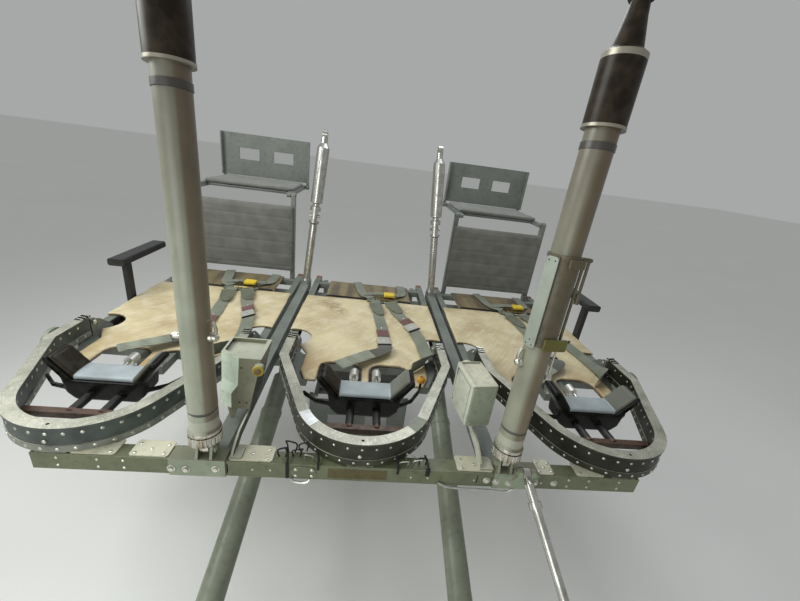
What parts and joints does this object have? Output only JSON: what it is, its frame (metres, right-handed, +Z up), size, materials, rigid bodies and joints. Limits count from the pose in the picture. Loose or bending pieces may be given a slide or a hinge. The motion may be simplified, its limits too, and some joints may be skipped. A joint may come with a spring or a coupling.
{
  "type": "spacecraft crew couch assembly",
  "caption": "Crew couches side by side on a head beam, with ring frames, sliding headrests, folding seat and leg pans, harness and telescoping struts.",
  "frame": {"origin": "midway between the bores of the two head struts' upper eyes", "axes": "+X across the couches, from the left couch to the right one; +Y from head to feet along the back pans; +Z up, away from the back pans"},
  "size_m": [2.098, 2.018, 1.704],
  "materials": {
    "ring_alloy": "brushed, scuffed",
    "frame_paint": "satin grey-green",
    "beam_paint": "satin olive green, chipped",
    "plate_paint": "satin cream, worn",
    "strut_paint": "gloss pale grey",
    "brace_paint": "satin grey",
    "bright_steel": "polished",
    "guard_paint": "satin brown-olive",
    "box_paint": "satin pale green",
    "pan_cloth": "coated glass cloth, wrinkled",
    "pad_cloth": "woven, dull",
    "cradle_black": "moulded, satin",
    "headrest_cloth": "coated cloth",
    "webbing": "woven webbing",
    "buckle_metal": "bronze plate, worn",
    "armrest_dark": "padded, satin"
  },
  "bodies": {
    "root": {"head_beam": "beam_paint", "beam_plates": "plate_paint", "strut_clevises": "plate_paint", "side_beams": "frame_paint", "cross_beams": "frame_paint", "head_struts": "strut_paint", "foot_struts": "bright_steel", "lower_struts": "brace_paint", "side_struts": "brace_paint", "stay_rod": "bright_steel", "strut_guard": "guard_paint", "side_box_left": "box_paint", "side_box_right": "box_paint", "headrest_rails": "bright_steel", "harness_straps": "webbing", "harness_buckles": "buckle_metal", "brace_lugs": "frame_paint", "left_ring_frame": "ring_alloy", "left_back_frame": "frame_paint", "left_back_pan": "pan_cloth", "centre_ring_frame": "ring_alloy", "centre_back_frame": "frame_paint", "centre_back_pan": "pan_cloth", "right_ring_frame": "ring_alloy", "right_back_frame": "frame_paint", "right_back_pan": "pan_cloth"},
    "left_headrest": {"left_headrest_cradle": "cradle_black", "left_headrest_pad": "headrest_cloth"},
    "left_seat": {"left_seat_frame": "frame_paint", "left_seat_pad": "pad_cloth"},
    "left_leg": {"left_leg_frame": "frame_paint", "left_leg_pad": "pad_cloth"},
    "left_foot": {"left_foot_pan": "frame_paint"},
    "centre_headrest": {"centre_headrest_cradle": "cradle_black", "centre_headrest_pad": "headrest_cloth"},
    "centre_seat": {"centre_seat_frame": "frame_paint", "centre_seat_pad": "pad_cloth"},
    "centre_leg": {"centre_leg_frame": "frame_paint", "centre_leg_pad": "pad_cloth"},
    "centre_foot": {"centre_foot_pan": "frame_paint"},
    "right_headrest": {"right_headrest_cradle": "cradle_black", "right_headrest_pad": "headrest_cloth"},
    "right_seat": {"right_seat_frame": "frame_paint", "right_seat_pad": "pad_cloth"},
    "right_leg": {"right_leg_frame": "frame_paint", "right_leg_pad": "pad_cloth"},
    "right_foot": {"right_foot_pan": "frame_paint"},
    "armrest_left": {"armrest_left": "armrest_dark"},
    "armrest_right": {"armrest_right": "armrest_dark"}
  },
  "joints": [
    {"name": "left_headrest_slide", "type": "slide", "parent": "root", "child": "left_headrest", "axis": [0, 1, 0], "range_m": [0, 0.075]},
    {"name": "left_hip", "type": "hinge", "parent": "root", "child": "left_seat", "pos_m": [-0.65, 1.16786, -0.993], "axis": [1, 0, 0], "range_deg": [-180, 5]},
    {"name": "left_knee", "type": "hinge", "parent": "left_seat", "child": "left_leg", "pos_m": [-0.65, 1.16786, -0.553], "axis": [1, 0, 0], "range_deg": [-12, 90]},
    {"name": "left_ankle", "type": "hinge", "parent": "left_leg", "child": "left_foot", "pos_m": [-0.65, 1.56786, -0.553], "axis": [1, 0, 0], "range_deg": [-90, 0]},
    {"name": "centre_headrest_slide", "type": "slide", "parent": "root", "child": "centre_headrest", "axis": [0, 1, 0], "range_m": [0, 0.075]},
    {"name": "centre_hip", "type": "hinge", "parent": "root", "child": "centre_seat", "pos_m": [0, 1.16786, -0.993], "axis": [1, 0, 0], "range_deg": [0, 185]},
    {"name": "centre_knee", "type": "hinge", "parent": "centre_seat", "child": "centre_leg", "pos_m": [0, 1.16786, -1.433], "axis": [1, 0, 0], "range_deg": [-12, 90]},
    {"name": "centre_ankle", "type": "hinge", "parent": "centre_leg", "child": "centre_foot", "pos_m": [0, 0.76786, -1.433], "axis": [1, 0, 0], "range_deg": [-90, 0]},
    {"name": "right_headrest_slide", "type": "slide", "parent": "root", "child": "right_headrest", "axis": [0, 1, 0], "range_m": [0, 0.075]},
    {"name": "right_hip", "type": "hinge", "parent": "root", "child": "right_seat", "pos_m": [0.65, 1.16786, -0.993], "axis": [1, 0, 0], "range_deg": [-180, 5]},
    {"name": "right_knee", "type": "hinge", "parent": "right_seat", "child": "right_leg", "pos_m": [0.65, 1.16786, -0.553], "axis": [1, 0, 0], "range_deg": [-12, 90]},
    {"name": "right_ankle", "type": "hinge", "parent": "right_leg", "child": "right_foot", "pos_m": [0.65, 1.56786, -0.553], "axis": [1, 0, 0], "range_deg": [-90, 0]},
    {"name": "armrest_left_hinge", "type": "hinge", "parent": "root", "child": "armrest_left", "pos_m": [-0.945, 0.70586, -0.989], "axis": [1, 0, 0], "range_deg": [0, 90]},
    {"name": "armrest_right_hinge", "type": "hinge", "parent": "root", "child": "armrest_right", "pos_m": [0.945, 0.70586, -0.989], "axis": [1, 0, 0], "range_deg": [0, 90]}
  ]
}
